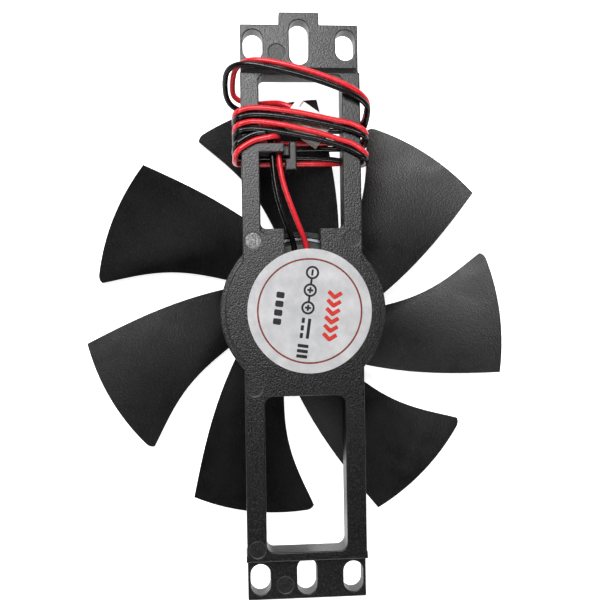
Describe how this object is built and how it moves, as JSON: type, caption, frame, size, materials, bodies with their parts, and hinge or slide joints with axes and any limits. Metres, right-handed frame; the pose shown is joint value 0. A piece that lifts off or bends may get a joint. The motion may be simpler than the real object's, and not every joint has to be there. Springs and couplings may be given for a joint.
{
  "type": "axial cooling fan",
  "caption": "Small brushless DC axial fan: a seven-bladed impeller hung on a flat two-armed bracket with slotted ends, its two leads wound round the bracket.",
  "frame": {"origin": "on the fan axis, in the plane of the two end plates' flat mounting faces", "axes": "+Z along the fan axis from the impeller towards the label; +X along the bracket towards the end with the tab; +Y across the bracket"},
  "size_m": [0.1463, 0.109, 0.0266],
  "materials": {
    "bracket_plastic": "moulded, fine spark-eroded grain, satin",
    "impeller_plastic": "moulded, fine grain, satin",
    "label_film": "printed polyester sticker, semi-gloss",
    "brass": "turned",
    "sintered_bronze": "pressed and sintered, oiled",
    "nylon": "moulded, slightly translucent",
    "ground_steel": "ground",
    "zinc_steel": "drawn sheet, zinc plated",
    "core_steel": "stacked silicon steel sheets",
    "enamelled_copper": "enamelled winding wire",
    "circuit_laminate": "solder-masked glass laminate",
    "black_epoxy": "moulded epoxy",
    "ceramic": "fired ceramic chip",
    "bonded_ferrite": "moulded bonded ferrite",
    "seal_rubber": "nitrile rubber",
    "solder": "reflowed tin solder, bright",
    "red_pvc": "extruded PVC insulation, satin",
    "black_pvc": "extruded PVC insulation, satin",
    "winding_pvc": "bundle of the red and black leads",
    "tinned_brass": "stamped, tin plated"
  },
  "bodies": {
    "stator": {"bracket": "bracket_plastic", "label": "label_film", "bearing_tube": "brass", "sleeve_bearing": "sintered_bronze", "thrust_washer": "nylon", "stator_core": "core_steel", "insulator_upper": "nylon", "insulator_lower": "nylon", "coil_1": "enamelled_copper", "coil_2": "enamelled_copper", "coil_3": "enamelled_copper", "coil_4": "enamelled_copper", "winding_pins": "tinned_brass", "circuit_board": "circuit_laminate", "hall_chip": "black_epoxy", "filter_capacitor": "ceramic", "protection_diode": "black_epoxy", "solder_joints": "solder", "red_lead": "red_pvc", "black_lead": "black_pvc", "lead_winding": "winding_pvc", "red_loop": "red_pvc", "black_loop": "black_pvc", "connector_housing": "nylon", "crimp_terminals": "tinned_brass"},
    "rotor": {"impeller": "impeller_plastic", "rotor_yoke": "zinc_steel", "magnet_ring": "bonded_ferrite", "hub_insert": "brass", "shaft": "ground_steel", "lock_ring": "nylon", "oil_seal": "seal_rubber"}
  },
  "joints": [
    {"name": "rotor_spin", "type": "hinge", "parent": "stator", "child": "rotor", "pos_m": [0, 0, 0], "axis": [0, 0, 1], "continuous": true}
  ]
}
